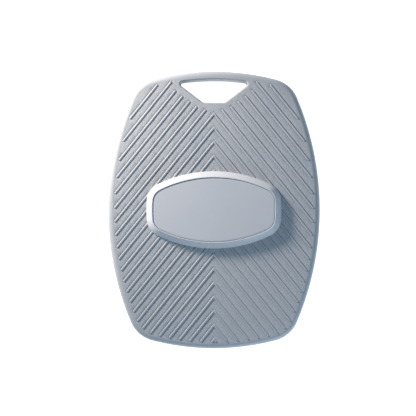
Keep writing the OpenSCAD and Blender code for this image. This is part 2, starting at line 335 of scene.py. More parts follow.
# %% Where ribs run
COVER_TOP = badge_low[2]
RIB_PITCH = 12.75
RIB_ANGLE = math.radians(51.0)
RIB_BORDER = 8.4
SLOT_BORDER = 9.0
LOWEST_APEX = 14.2
UNDER_BEZEL = 1.2        # how far a rib runs on below the badge, so that no gap shows
SHORTEST_RIB = 3.5
WALK_STEP = 0.25         # how finely a rib's line is walked
RIB_FOOT = 2.3           # half the width of a rib with the fine hollow round its foot
rib_height = cover_high[2] - COVER_TOP


def in_rib_field(points):
    """Which points lie where ribs may be: clear of border, slot and badge."""
    return (inside(points, pad.at(RIB_BORDER + RIB_FOOT))
            & ~inside(points, slot(SLOT_BORDER + RIB_FOOT))
            & ~inside(points, badge.at(UNDER_BEZEL)))


def runs(kept):
    """Start and end of each unbroken stretch of a walked line."""
    found, start = [], None
    for i, here in enumerate(list(kept) + [False]):
        if here and start is None:
            start = i
        if not here and start is not None:
            if (i - 1 - start) * WALK_STEP >= SHORTEST_RIB:
                found.append((start * WALK_STEP, (i - 1) * WALK_STEP))
            start = None
    return found


def rib_lines():
    """Centre lines of all ribs: three points for a whole chevron, two for half of one."""
    lines = []
    down = np.array([math.cos(RIB_ANGLE), -math.sin(RIB_ANGLE)])
    mirror = np.array([-1, 1])
    pitch = RIB_PITCH / math.cos(RIB_ANGLE)
    reach = pad_high[0] / math.cos(RIB_ANGLE)
    apex = pad_low[1] + LOWEST_APEX
    while apex - pad_high[0] * math.tan(RIB_ANGLE) < pad_high[1]:
        walk = np.arange(0, reach, WALK_STEP)
        points = np.array([0, apex]) + walk[:, None] * down
        for start, stop in runs(in_rib_field(points)):
            a, b = np.array([0, apex]) + start * down, np.array([0, apex]) + stop * down
            if start == 0:
                lines.append([b * mirror, a, b])
            else:
                lines += [[a, b], [b * mirror, a * mirror]]
        apex += pitch
    return lines


ribs = rib_lines()
print("chevrons:", sum(len(r) == 3 for r in ribs), "- half chevrons:", sum(len(r) == 2 for r in ribs))

# %% A bar along a centre line
BAR_SPACING = 4.0        # how far apart the points along a bar are
CAP_STEPS = 6            # steps round the end of a bar


def around(path, half_width):
    """A loop at one distance from a path of two or three points, with round ends. It runs
    along the left side of the path, round its end, back along the right side and round."""
    path = [np.array(p, float) for p in path]
    legs = [(b - a) / np.linalg.norm(b - a) for a, b in zip(path, path[1:])]
    stations, normals = [], []
    for k, leg in enumerate(legs):
        length = np.linalg.norm(path[k + 1] - path[k])
        count = max(1, int(length // BAR_SPACING))
        normal = np.array([-leg[1], leg[0]])
        for i in range(0 if k == 0 else 1, count + 1):
            stations.append(path[k] + leg * length * i / count)
            normals.append(normal)
        if k + 1 < len(legs):
            after = np.array([-legs[k + 1][1], legs[k + 1][0]])
            both = (normal + after) / np.linalg.norm(normal + after)
            normals[-1] = both / (both @ normal)
    stations, normals = np.array(stations), np.array(normals)
    left, right = stations + half_width * normals, stations - half_width * normals

    def cap(centre, normal, ahead):
        turn = np.pi * np.arange(1, CAP_STEPS) / CAP_STEPS
        return centre + half_width * (np.cos(turn)[:, None] * normal + np.sin(turn)[:, None] * ahead)

    return np.vstack([left, cap(stations[-1], normals[-1], legs[-1]),
                      right[::-1], cap(stations[0], -normals[0], -legs[0])]), len(stations)


def add_bar(shaper, path, profile, base, finish=0):
    """Raises a bar from a sheet. Where the sheet looks down, the bar is a groove in it. profile
    is a list of (distance from the centre line, height), from the foot to the crest."""
    loops = [around(path, distance) for distance, _ in profile]
    rows = [raised(loop, base + height) for (loop, _), (_, height) in zip(loops, profile)]
    shaper.wall(rows, finish)
    crest, stations = rows[-1], loops[-1][1]
    caps = (len(crest) - 2 * stations) // 2
    left = list(range(stations))
    right = [2 * stations + caps - 1 - i for i in range(stations)]
    quads = [(left[i], left[i + 1], right[i + 1], right[i]) for i in range(stations - 1)]
    ends = [(left[-1], *range(stations, stations + caps), right[-1]),
            (right[0], *range(2 * stations + caps, len(crest)), left[0])]
    shaper.add(crest, quads + ends, finish)


def legs_of(paths):
    """All straight stretches of several paths."""
    return [(np.array(a), np.array(b)) for path in paths for a, b in zip(path, path[1:])]


RIB_SHAPE = [(RIB_FOOT, 0.0), (2.13, -0.07), (1.96, -0.36), (1.72, -0.4), (1.52, -0.06), (1.4, 0.3),
             (1.24, 0.6), (1.0, 0.82), (0.72, 0.94), (0.4, 0.99), (0.15, 1.0)]
RIB_PROFILE = [(distance, share * rib_height) for distance, share in RIB_SHAPE]
print("ribs in mm: height", round(rib_height, 2), "- depth of the hollow",
      round(-min(height for _, height in RIB_PROFILE), 2))

# %% [markdown]
# ## The cover
# The cover is one soft moulding with an even wall: ribbed top, rounded shoulder, upright
# sides and a collar that lines the hand slot. It is built as a closed shell, outside and
# inside, so that it also holds up when the pad is taken apart. A moulded foam skin is never
# dead flat, so the top gets a slight crown and a faint unevenness, too small to see as
# shape but enough to bend the light. Both fade out under the badge, which needs a flat seat.

# %% The cover's surface
SHOULDER = 8.0
SKIN_WALL = 2.6
SLOT_LIP = 2.4
PANEL_EDGE = 0.3         # flat strip between the shoulder and the ribbed sheet
CROWN = 0.7              # how far the top falls away towards the sides
RIPPLE = 0.12            # half the height of the unevenness
FADE_HEIGHT = 10.0       # how far above the cover's foot crown and unevenness begin
SEAT = 1.25              # the flat seat, as a share of the badge's size
SEAT_FADE = 0.5          # how far beyond the seat, in the same share, they reach full size
PARTING_HEIGHT = 15.0    # height of the mould's parting line
PANEL_GRID = 4.0         # spacing of the triangles on the ribbed side, which shows
LINING_GRID = 12.0       # spacing on the side that faces the foam
cover_foot = cover_low[2]
cover_under = COVER_TOP - SKIN_WALL


def uneven(points):
    """A fixed, slow ripple between -1 and 1."""
    x, y = points[:, 0], points[:, 1]
    return (np.sin(x / 19 + 0.6) * np.sin(y / 23 + 1.9) + np.sin(x / 11 - y / 17 + 0.4)
            + 0.6 * np.sin(x / 7.3 + y / 9.1)) / 2.6


def settle(points):
    """Adds crown and unevenness to the cover's top, none at its foot or under the badge."""
    x, y = points[:, 0] / pad_high[0], points[:, 1] / pad_high[1]
    fade_start = cover_foot + FADE_HEIGHT
    out = np.clip((points[:, 2] - fade_start) / (cover_under - fade_start), 0, 1)
    seat = np.hypot(points[:, 0] / badge_high[0], points[:, 1] / badge_high[1])
    away = np.clip((seat - SEAT) / SEAT_FADE, 0, 1)
    away = away * away * (3 - 2 * away)
    fall = CROWN * (x ** 2 + y ** 2) / 2
    moved = points.copy()
    moved[:, 2] -= out * away * (fall + RIPPLE * (1 + uneven(points)))
    return moved


def make_cover(finishes):
    """The ribbed cover. finishes are those of the panel, of the border and of the ribs."""
    panel, border, rib = range(3)
    cover = Shaper()
    panel_edge = SHOULDER + PANEL_EDGE
    slot_edge = SLOT_LIP + PANEL_EDGE
    cover.edge(pad.at, [(SKIN_WALL, cover_foot), (0.6, cover_foot), (0.2, cover_foot + 0.15),
                        (0.0, cover_foot + 0.5), (0.0, cover_foot + 4), (0.0, PARTING_HEIGHT - 3),
                        (0.0, PARTING_HEIGHT - 0.5), (-0.12, PARTING_HEIGHT - 0.2),
                        (-0.12, PARTING_HEIGHT + 0.2), (0.0, PARTING_HEIGHT + 0.5)], border)
    cover.edge(pad.at, [(0.0, PARTING_HEIGHT + 0.5)]
               + rounding(SHOULDER, COVER_TOP - SHOULDER, SHOULDER, 0, 90, 14)
               + [(panel_edge, COVER_TOP)], border)
    slot_wall = [(0.0, h) for h in np.linspace(COVER_TOP - SLOT_LIP, cover_foot + 0.5, 7)]
    cover.edge(slot, [(slot_edge, COVER_TOP)]
               + [(SLOT_LIP - SLOT_LIP * math.sin(t), COVER_TOP - SLOT_LIP * (1 - math.cos(t)))
                  for t in np.radians(np.linspace(0, 90, 7))]
               + slot_wall[1:] + [(0.2, cover_foot + 0.15), (0.6, cover_foot),
                                  (SKIN_WALL, cover_foot)], border)
    feet = [around(path, RIB_FOOT)[0] for path in ribs]
    legs = legs_of(ribs)
    edge, hole = pad.at(panel_edge), slot(slot_edge)

    def keep(points):
        kept = inside(points, edge) & ~inside(points, hole)
        close = distance_to_lines(points, legs) < RIB_FOOT + 0.5
        for foot in feet:
            box = (points >= foot.min(axis=0) - 1e-6) & (points <= foot.max(axis=0) + 1e-6)
            here = np.flatnonzero(kept & close & box.all(axis=1))
            kept[here[inside(points[here], foot)]] = False
        return kept

    cover.sheet(keep, [edge, hole] + feet, COVER_TOP, PANEL_GRID, panel,
                clear=lambda p: distance_to_lines(p, legs) > RIB_FOOT + 0.8)
    for path in ribs:
        add_bar(cover, path, RIB_PROFILE, COVER_TOP, rib)
    inner = SHOULDER - SKIN_WALL
    cover.edge(pad.at, [(SKIN_WALL, cover_foot), (SKIN_WALL, 10.0)]
               + rounding(SHOULDER, cover_under - inner, inner, 0, 90, 6), border)
    collar = SKIN_WALL + 1.2
    cover.edge(slot, [(SKIN_WALL, cover_foot), (SKIN_WALL, 12.0), (SKIN_WALL, cover_under - 1.2),
                      (SKIN_WALL + 0.35, cover_under - 0.35), (collar, cover_under)], border)
    inner_edge, inner_hole = pad.at(SHOULDER), slot(collar)
    cover.sheet(lambda p: inside(p, inner_edge) & ~inside(p, inner_hole),
                [inner_edge, inner_hole], cover_under, LINING_GRID, border)
    return cover.make("pad_cover", finishes, settle)

# %% [markdown]
# ## The foams
# Two blocks of foam fill the cover. The upper one is soft, with an open grain, and its top
# carries a moat that takes the badge's backing ring. The lower one is firm and closed, and
# is rebated below, where the lip of the sole stands. Both are cut from sheet, so their
# edges are nearly sharp but never perfectly straight, and a little waviness shows that.

# %% Soft foam
FIT = 0.2                # clearance between pieces that slide together
RING_INSET = 5.5         # from the badge's outline to the backing ring
RING_WIDTH = 15.0
FOAM_GRID = 9.0
FOAM_TOP_GRID = 7.0


def cut_by_hand(amount):
    """A shape function for cut foam: every wall strays a little from its line."""
    def wander(points):
        x, y, z = points.T
        moved = points.copy()
        moved[:, 0] += amount * np.sin(y / 13 + z / 5) * np.sin(y / 31 + 1.3)
        moved[:, 1] += amount * np.sin(x / 11 + z / 6 + 0.8) * np.sin(x / 27 + 0.4)
        return moved
    return wander


def make_comfort_foam(finishes):
    """The soft upper block, with the moat for the backing ring."""
    (_, _, low), (right, _, high) = span("comfort_foam")
    inset = pad_high[0] - right
    radius = SHOULDER - inset
    moat = span("badge_backing_ring")[0][2] - FIT
    hole = SKIN_WALL + FIT
    foam = Shaper()
    foam.edge(pad.at, [(inset + 2.0, low), (inset + 0.4, low), (inset, low + 0.4),
                       (inset, (low + high) / 2 - 2)]
              + rounding(SHOULDER, high - radius, radius, 0, 90, 8) + [(SHOULDER + 0.2, high)])
    foam.edge(slot, [(hole + 1.0, high), (hole + 0.3, high - 0.3), (hole, high - 1.0),
                     (hole, (low + high) / 2), (hole, low + 0.4), (hole + 0.4, low),
                     (hole + 2.0, low)])
    bottom, gap = pad.at(inset + 2.0), slot(hole + 2.0)
    foam.sheet(lambda p: inside(p, bottom) & ~inside(p, gap), [bottom, gap], low, FOAM_GRID)
    outer, inner = RING_INSET - FIT, RING_INSET + RING_WIDTH + FIT
    foam.edge(badge.at, [(outer, high), (outer, moat + 0.5), (outer + 0.5, moat),
                         (inner - 0.5, moat), (inner, moat + 0.5), (inner, high)])
    top, opening = pad.at(SHOULDER + 0.2), slot(hole + 1.0)
    ring_out, ring_in = badge.at(outer), badge.at(inner)
    foam.sheet(lambda p: (inside(p, top) & ~inside(p, opening) & ~inside(p, ring_out))
               | inside(p, ring_in), [top, opening, ring_out, ring_in], high,
               FOAM_TOP_GRID)
    return foam.make("comfort_foam_block", finishes, cut_by_hand(0.1))


# %% Firm foam
LIP_WALL = 1.4           # wall of the sole's lip, which stands in the rebate


def make_support_foam(finishes):
    """The firm lower block, rebated below for the lip of the sole."""
    (_, _, low), (right, _, high) = span("support_foam")
    rebate = span("base_tray")[1][2] + FIT
    inset = pad_high[0] - right
    low_inset = inset + LIP_WALL + FIT
    hole, low_hole = inset, low_inset
    foam = Shaper()
    foam.edge(pad.at, [(low_inset + 1.0, low), (low_inset + 0.4, low), (low_inset, low + 0.4),
                       (low_inset, rebate), (inset + 0.4, rebate), (inset, rebate + 0.4),
                       (inset, (rebate + high) / 2), (inset, high - 0.4), (inset + 0.4, high),
                       (inset + 2.0, high)])
    foam.edge(slot, [(hole + 2.0, high), (hole + 0.4, high), (hole, high - 0.4),
                     (hole, rebate + 0.4), (hole + 0.4, rebate), (low_hole, rebate),
                     (low_hole, low + 0.4), (low_hole + 0.4, low), (low_hole + 1.0, low)])
    for height, outer, inner in ((low, pad.at(low_inset + 1.0), slot(low_hole + 1.0)),
                                 (high, pad.at(inset + 2.0), slot(hole + 2.0))):
        foam.sheet(lambda p: inside(p, outer) & ~inside(p, inner), [outer, inner], height,
                   FOAM_GRID)
    return foam.make("support_foam_block", finishes, cut_by_hand(0.08))


# %% [markdown]
# ## The sole
# The sole is moulded rubber: a floor with a lip that locates in the cover, and a lip round
# the hand slot. Underneath it has short tread grooves in chevrons, the same idea as the
# ribs turned inside out, so the same bar function sinks them into the lower sheet.

# %% The sole
SOLE_FLOOR = 3.0
LIP_INSET = SKIN_WALL + FIT
SOLE_BORDER = 4.0        # plain strip round the tread
SOLE_GRID = 7.0
SOLE_FLOOR_GRID = 10.0
TREAD_LENGTH = 26.0
TREAD_WIDTH = 2.4
TREAD_DEPTH = 1.0
TREAD_TURN = math.radians(25.0)
TREAD_ACROSS = TREAD_LENGTH * 1.25   # pitch of the columns
TREAD_ALONG = TREAD_WIDTH * 5.5      # pitch of the rows
TREAD_BORDER = 26.0                  # from the pad's end to the first groove
TREAD_SLOT_BORDER = 14.0             # from the hand slot to the first groove
TREAD_BOW = 0.0012                   # how fast the tread shortens away from the middle


def tread_lines():
    """Centre lines of the tread grooves, clear of the border and of the slot."""
    lines = []
    columns = int((pad_high[0] - SHOULDER - TREAD_ACROSS / 2) // TREAD_ACROSS)
    for column in range(columns):
        x = TREAD_ACROSS * (column + 0.75)
        reach = pad_high[1] - TREAD_BORDER - TREAD_BOW * x * x
        near_slot = x < SLOT_WIDTH / 2 + TREAD_LENGTH
        above = reach - SLOT_HEIGHT - TREAD_SLOT_BORDER if near_slot else reach
        for row in range(-math.floor(reach / TREAD_ALONG), math.floor(above / TREAD_ALONG) + 1):
            for side in (-1, 1):
                turn = -side * TREAD_TURN * (1 if column % 2 == 0 else -1)
                half = (TREAD_LENGTH - TREAD_WIDTH) / 2 * np.array([math.cos(turn), math.sin(turn)])
                middle = np.array([side * x, row * TREAD_ALONG])
                lines.append([middle - half, middle + half])
    return lines


TREAD_SHAPE = [(1.35, 0.0), (1.15, 0.08), (1.02, 0.25), (0.95, 0.7), (0.75, 0.93), (0.3, 1.0)]
TREAD_DRAWN = 2.4        # the groove's width for which that shape was drawn
TREAD_PROFILE = [(distance * TREAD_WIDTH / TREAD_DRAWN, share * TREAD_DEPTH)
                 for distance, share in TREAD_SHAPE]
TREAD_FOOT = TREAD_PROFILE[0][0]


def make_sole(finishes):
    """The sole, with its lips above and its tread below."""
    low, high = pad_low[2], pad_high[2]
    lip_in = LIP_INSET + LIP_WALL
    sole = Shaper()
    edge = [(SOLE_BORDER, low), (0.8, low), (0.25, low + 0.25), (0.0, low + 0.8),
            (0.0, SOLE_FLOOR - 0.3), (0.25, SOLE_FLOOR), (LIP_INSET, SOLE_FLOOR),
            (LIP_INSET, high - 0.4), (LIP_INSET + 0.4, high), (lip_in - 0.4, high),
            (lip_in, high - 0.4), (lip_in, SOLE_FLOOR), (lip_in + 1.0, SOLE_FLOOR)]
    sole.edge(pad.at, edge)
    sole.edge(slot, edge[::-1])
    grooves = tread_lines()
    feet = [around(path, TREAD_FOOT)[0] for path in grooves]
    legs = legs_of(grooves)
    outer, inner = pad.at(SOLE_BORDER), slot(SOLE_BORDER)

    def keep(points):
        free = distance_to_lines(points, legs) > TREAD_FOOT - 0.02
        return inside(points, outer) & ~inside(points, inner) & free

    sole.sheet(keep, [outer, inner] + feet, low, SOLE_GRID,
               clear=lambda p: distance_to_lines(p, legs) > TREAD_FOOT + 1.5)
    for path in grooves:
        add_bar(sole, path, TREAD_PROFILE, low)
    floor_edge, floor_hole = pad.at(lip_in + 1.0), slot(lip_in + 1.0)
    sole.sheet(lambda p: inside(p, floor_edge) & ~inside(p, floor_hole),
               [floor_edge, floor_hole], SOLE_FLOOR, SOLE_FLOOR_GRID)
    return sole.make("base_sole", finishes)


# %% [markdown]
# ## The badge
# The badge has a hard bezel with a sloping rim, and a blank plate set into it. The rim could
# be a bevelled slab, but a bevel gives one flat slope. Here it is a stack of outlines, so
# its slope and its rounded crest are just a list of insets and heights. Webs and sockets
# are moulded underneath, as on any thin-walled lid that a knee may press on.

# %% Lathe and webs
def add_turned(shaper, centre, profile, finish=0, steps=32):
    """A round, closed shape from (radius, height) pairs, about an upright axis."""
    turn = 2 * np.pi * np.arange(steps) / steps
    circle = np.column_stack([np.cos(turn), np.sin(turn)])
    rows = [raised(np.array(centre) + radius * circle, height) for radius, height in profile]
    shaper.wall(rows, finish)
    shaper.add(rows[0], [tuple(range(steps))], finish)
    shaper.add(rows[-1], [tuple(range(steps))], finish)


def add_web(shaper, start, stop, low, high, finish=0):
    """An upright web between two points, a little thinner at its free lower edge."""
    start, stop = np.array(start, float), np.array(stop, float)
    ahead = (stop - start) / np.linalg.norm(stop - start)
    aside = np.array([-ahead[1], ahead[0]])
    rows = []
    for half, height in ((0.34 * WEB, low), (0.42 * WEB, low + 0.12), (0.5 * WEB, high)):
        rows.append(raised(np.array([start - half * aside, stop - half * aside,
                                     stop + half * aside, start + half * aside]), height))
    shaper.wall(rows, finish)
    shaper.add(rows[0], [(0, 1, 2, 3)], finish)
    shaper.add(rows[-1], [(0, 1, 2, 3)], finish)


# %% The bezel
RIM_WIDTH = 9.4
RIM_FOOT = 2.0
RIM_CREST = 1.3
BEZEL_WALL = 2.2
PLATE_FIT = 0.3          # how much closer the finished plate sits to the rim than its blank
FILM = 0.3
PEG_RADIUS = 2.0
PEG_SPREAD = 0.46        # place of the outer pegs, as a share of the middle ones'
SOCKET_RADIUS = 4.0
WEB = 1.6                # thickness of a web
WEB_START = 7.0          # how far inside the foot the tall part of a web starts
BEZEL_GRID = 8.0
RECESS_BORDER = 3.0      # strip of even walls round the flat floor of the recess
plate_low, plate_high = span("badge_plate")
floor_top = plate_low[2] - FILM
floor_under = floor_top - BEZEL_WALL
peg_top = span("badge_backing_ring")[1][2]


def peg_places():
    """The middles of the six pegs, on the middle line of the backing ring."""
    inset = RING_INSET + RING_WIDTH / 2
    x = badge_high[0] - inset
    near = x * PEG_SPREAD
    bow = badge.end_radius - inset
    y = badge_high[1] - inset - (bow - math.sqrt(bow ** 2 - near ** 2))
    return [(x, 0.0), (-x, 0.0), (near, y), (-near, y), (near, -y), (-near, -y)]


def rim_profile():
    """From the foot, up the slope, over the crest and down into the recess."""
    foot, crest = badge_low[2], badge_high[2]
    start, stop = np.array([0.0, foot + RIM_FOOT]), np.array([RIM_WIDTH - RIM_CREST, crest])
    slope = [tuple(start + (stop - start) * t + np.array([-0.25, 0.25]) * math.sin(math.pi * t))
             for t in (0.12, 0.25, 0.4, 0.55, 0.7, 0.83, 0.92)]
    return ([(BEZEL_WALL, foot), (0.25, foot), (0.05, foot + 0.1), (0.0, foot + 0.3),
             (0.0, foot + RIM_FOOT - 0.5), (0.08, foot + RIM_FOOT + 0.1),
             (0.3, foot + RIM_FOOT + 0.5)]
            + slope
            + [(RIM_WIDTH - RIM_CREST - 0.1, crest - 0.14),
               (RIM_WIDTH - RIM_CREST + 0.25, crest - 0.02), (RIM_WIDTH - 0.65, crest),
               (RIM_WIDTH - 0.3, crest - 0.08), (RIM_WIDTH - 0.08, crest - 0.3),
               (RIM_WIDTH, crest - 0.6), (RIM_WIDTH, floor_top + 0.4),
               (RIM_WIDTH + 0.4, floor_top), (RIM_WIDTH + RECESS_BORDER, floor_top)])


def make_bezel(finishes):
    """The rim and the floor that carries the plate, with webs and sockets below."""
    foot = badge_low[2]
    bezel = Shaper()
    bezel.edge(badge.at, rim_profile())
    recess = badge.at(RIM_WIDTH + RECESS_BORDER)
    bezel.sheet(lambda p: inside(p, recess), [recess], floor_top, BEZEL_GRID)
    under = RIM_WIDTH + BEZEL_WALL
    bezel.edge(badge.at, [(BEZEL_WALL, foot), (BEZEL_WALL, foot + RIM_FOOT - 0.2),
                          (under, floor_under), (under + RECESS_BORDER, floor_under)])
    ceiling = badge.at(under + RECESS_BORDER)
    bezel.sheet(lambda p: inside(p, ceiling), [ceiling], floor_under, BEZEL_GRID)
    for x in (-2, -1, 0, 1, 2):
        x *= (badge_high[0] - badge_low[0]) / 7
        y = badge_high[1] - BEZEL_WALL - 1 - x * x / (2 * badge.end_radius)
        add_web(bezel, (x, -y), (x, y), foot, foot + RIM_FOOT)
        add_web(bezel, (x, -y + WEB_START), (x, y - WEB_START), foot + 0.02, floor_under + 0.4)
    wide = badge_high[0] - BEZEL_WALL - 1
    add_web(bezel, (-wide, 0), (wide, 0), foot, foot + RIM_FOOT)
    add_web(bezel, (WEB_START - wide, 0), (wide - WEB_START, 0), foot + 0.02, floor_under + 0.4)
    for middle in peg_places():
        add_turned(bezel, middle, [(PEG_RADIUS + 0.05, peg_top), (PEG_RADIUS + 0.05, foot + 0.3),
                                   (PEG_RADIUS + 0.3, foot), (SOCKET_RADIUS - 0.2, foot),
                                   (SOCKET_RADIUS, foot + 0.2),
                                   (SOCKET_RADIUS + 0.1, floor_under + 0.4)])
    return bezel.make("badge_rim", finishes)


# %% [markdown]
# ## The plate
# The plate is stamped from a smooth sheet and lies a little below the rim's crest, with a
# narrow groove all round. The groove is only seen because the plate has an edge of its own,
# so the plate is a piece and not a colour on the bezel. Its upper edge is rounded over.

# %% The plate
PLATE_GRID = 6.0
PLATE_BORDER = 3.0       # strip of even walls round the plate's flat faces


def make_plate(finishes):
    """The blank plate, a little closer to the rim than its CAD blank."""
    inset = badge_high[0] - plate_high[0] - PLATE_FIT
    low, high = plate_low[2], plate_high[2]
    plate = Shaper()
    plate.edge(badge.at, [(inset + PLATE_BORDER, low), (inset + 0.2, low), (inset, low + 0.2),
                          (inset, high - 0.45), (inset + 0.06, high - 0.24),
                          (inset + 0.2, high - 0.08), (inset + 0.45, high),
                          (inset + PLATE_BORDER, high)])
    edge = badge.at(inset + PLATE_BORDER)
    for height in (low, high):
        plate.sheet(lambda p: inside(p, edge), [edge], height, PLATE_GRID)
    return plate.make("badge_face", finishes)


# %% [markdown]
# ## The backing ring
# A hard badge would tear out of soft foam, so a ring under the cover takes the pull. Six
# pegs go up through the cover into the bezel's sockets. The ring is one closed wall that
# comes back to its start, and each peg is turned from a short list of radii and heights.

# %% The backing ring
def make_backing_ring(finishes):
    """The flat ring and its six pegs."""
    (_, _, low), _ = span("badge_backing_ring")
    high = cover_under
    outer, inner = RING_INSET, RING_INSET + RING_WIDTH
    ring = Shaper()
    ring.edge(badge.at, [(outer, low + 0.3), (outer, high - 0.2), (outer + 0.2, high),
                         (inner - 0.2, high), (inner, high - 0.2), (inner, low + 0.3),
                         (inner - 0.3, low), (outer + 0.3, low), (outer, low + 0.3)])
    for middle in peg_places():
        add_turned(ring, middle, [(PEG_RADIUS, low + 0.2), (PEG_RADIUS + 1.0, high - 0.1),
                                  (PEG_RADIUS, high + 0.02), (PEG_RADIUS, peg_top - 0.4),
                                  (PEG_RADIUS - 0.4, peg_top)])
    return ring.make("badge_back_ring", finishes)

# %% [markdown]
# ## Effects that several finishes share
# No real surface is one flat colour. Moulded rubber has a fine grain from the tool, its
# colour drifts a little, and hands and knees leave faint rubs. Each of these is built once
# as a node group, and every finish below places the same groups with its own numbers.

# %% Node helpers
def place(tree, kind, inputs=(), **settings):
    """Adds a node, makes its settings and feeds its inputs with values or other sockets."""
    node = tree.nodes.new("ShaderNode" + kind)
    for name, value in settings.items():
        setattr(node, name, value)
    for key, value in dict(inputs).items():
        if isinstance(value, bpy.types.NodeSocket):
            tree.links.new(value, node.inputs[key])
        else:
            node.inputs[key].default_value = value
    return node


def blend_colours(tree, share, first, second):
    """The colour between two colours."""
    node = tree.nodes.new("ShaderNodeMix")
    node.data_type = "RGBA"
    for index, value in ((0, share), (6, first), (7, second)):
        if isinstance(value, bpy.types.NodeSocket):
            tree.links.new(value, node.inputs[index])
        else:
            node.inputs[index].default_value = value
    return node.outputs[2]


def start_effect(name, inputs, outputs):
    """An empty node group with its inputs, each with a default value, and its outputs."""
    tree = bpy.data.node_groups.new(name, "ShaderNodeTree")
    for title, default in inputs.items():
        kind = "NodeSocketColor" if isinstance(default, tuple) else "NodeSocketFloat"
        socket = tree.interface.new_socket(title, in_out="INPUT", socket_type=kind)
        socket.default_value = default
    for title in outputs:
        kind = "NodeSocketColor" if title == "Colour" else "NodeSocketFloat"
        tree.interface.new_socket(title, in_out="OUTPUT", socket_type=kind)
    enter = tree.nodes.new("NodeGroupInput").outputs
    leave = tree.nodes.new("NodeGroupOutput").inputs
    return tree, enter, leave


def frequency(tree, size):
    """Textures want a scale, which is one over the size of their features."""
    return place(tree, "Math", {0: 1.0, 1: size}, operation="DIVIDE").outputs[0]


# %% Fine grain
def make_fine_grain():
    """Small even beads, as a spark-eroded mould leaves them, with softer noise between."""
    tree, enter, leave = start_effect("fine grain", {"Size": 0.001, "Softness": 0.5},
                                      ("Height", "Speck"))
    where = place(tree, "TexCoord").outputs["Object"]
    scale = frequency(tree, enter["Size"])
    beads = place(tree, "TexVoronoi", {"Vector": where, "Scale": scale})
    noise = place(tree, "TexNoise", {"Vector": where, "Scale": scale, "Detail": 3.0})
    height = place(tree, "Mix", {0: enter["Softness"], 2: beads.outputs[0], 3: noise.outputs[0]})
    speck = place(tree, "MapRange", {"Value": noise.outputs[0], "From Min": 0.3, "From Max": 0.7})
    tree.links.new(height.outputs[0], leave["Height"])
    tree.links.new(speck.outputs[0], leave["Speck"])
    return tree


# %% Colour drift
def make_colour_drift():
    """A slow wander between two close colours, with a finer one on top."""
    tree, enter, leave = start_effect(
        "colour drift", {"Colour": (0.5, 0.5, 0.5, 1.0), "Other": (0.4, 0.4, 0.4, 1.0),
                         "Size": 0.05, "Amount": 1.0}, ("Colour", "Drift"))
    where = place(tree, "TexCoord").outputs["Object"]
    noise = place(tree, "TexNoise", {"Vector": where, "Scale": frequency(tree, enter["Size"]),
                                     "Detail": 5.0, "Roughness": 0.55})
    drift = place(tree, "MapRange", {"Value": noise.outputs[0], "From Min": 0.32, "From Max": 0.68})
    share = place(tree, "Math", {0: drift.outputs[0], 1: enter["Amount"]}, operation="MULTIPLY")
    colour = blend_colours(tree, share.outputs[0], enter["Colour"], enter["Other"])
    tree.links.new(colour, leave["Colour"])
    tree.links.new(drift.outputs[0], leave["Drift"])
    return tree


# %% Handling marks
def make_handling():
    """Smears that hands leave, and hair-fine scratches that all run roughly one way."""
    tree, enter, leave = start_effect("handling marks", {"Size": 0.03, "Turn": 0.6},
                                      ("Smear", "Scratch"))
    where = place(tree, "TexCoord").outputs["Object"]
    scale = frequency(tree, enter["Size"])
    smear = place(tree, "TexNoise", {"Vector": where, "Scale": scale, "Detail": 6.0,
                                     "Roughness": 0.6, "Distortion": 0.8})
    smear = place(tree, "MapRange", {"Value": smear.outputs[0], "From Min": 0.5, "From Max": 0.72})
    turned = place(tree, "VectorRotate", {"Vector": where, "Angle": enter["Turn"]},
                   rotation_type="Z_AXIS").outputs[0]
    drawn = place(tree, "VectorMath", {0: turned, 1: (0.05, 1.0, 1.0)}, operation="MULTIPLY")
    finer = place(tree, "Math", {0: scale, 1: 28.0}, operation="MULTIPLY").outputs[0]
    hairs = place(tree, "TexNoise", {"Vector": drawn.outputs[0], "Scale": finer, "Detail": 1.0})
    hairs = place(tree, "MapRange", {"Value": hairs.outputs[0], "From Min": 0.68, "From Max": 0.74})
    tree.links.new(smear.outputs[0], leave["Smear"])
    tree.links.new(hairs.outputs[0], leave["Scratch"])
    return tree


# %% Settled dust
def make_dust():
    """Pale dust that gathers low down, and in patches, on what stands on the ground."""
    tree, enter, leave = start_effect("settled dust", {"Low": 0.0, "High": 0.02, "Size": 0.008},
                                      ("Dust",))
    where = place(tree, "TexCoord").outputs["Object"]
    height = place(tree, "SeparateXYZ", {0: where}).outputs["Z"]
    near = place(tree, "MapRange", {"Value": height, "From Min": enter["High"],
                                    "From Max": enter["Low"]}).outputs[0]
    noise = place(tree, "TexNoise", {"Vector": where, "Scale": frequency(tree, enter["Size"]),
                                     "Detail": 6.0, "Roughness": 0.65})
    patch = place(tree, "MapRange", {"Value": noise.outputs[0], "From Min": 0.42, "From Max": 0.7})
    dust = place(tree, "Math", {0: near, 1: patch.outputs[0]}, operation="MULTIPLY")
    tree.links.new(dust.outputs[0], leave["Dust"])
    return tree


fine_grain, colour_drift = make_fine_grain(), make_colour_drift()
handling, dust = make_handling(), make_dust()
print("effects:", ", ".join(t.name for t in (fine_grain, colour_drift, handling, dust)))

# %% [markdown]
# ## One recipe for a finish
# All finishes on the pad are made the same way: a colour that drifts, dulled by smears, and
# a bump made of grain and scratches. So one function wires them, and a finish is a list of
# numbers. Gloss stays in the shader: only the roughness varies over the surface.

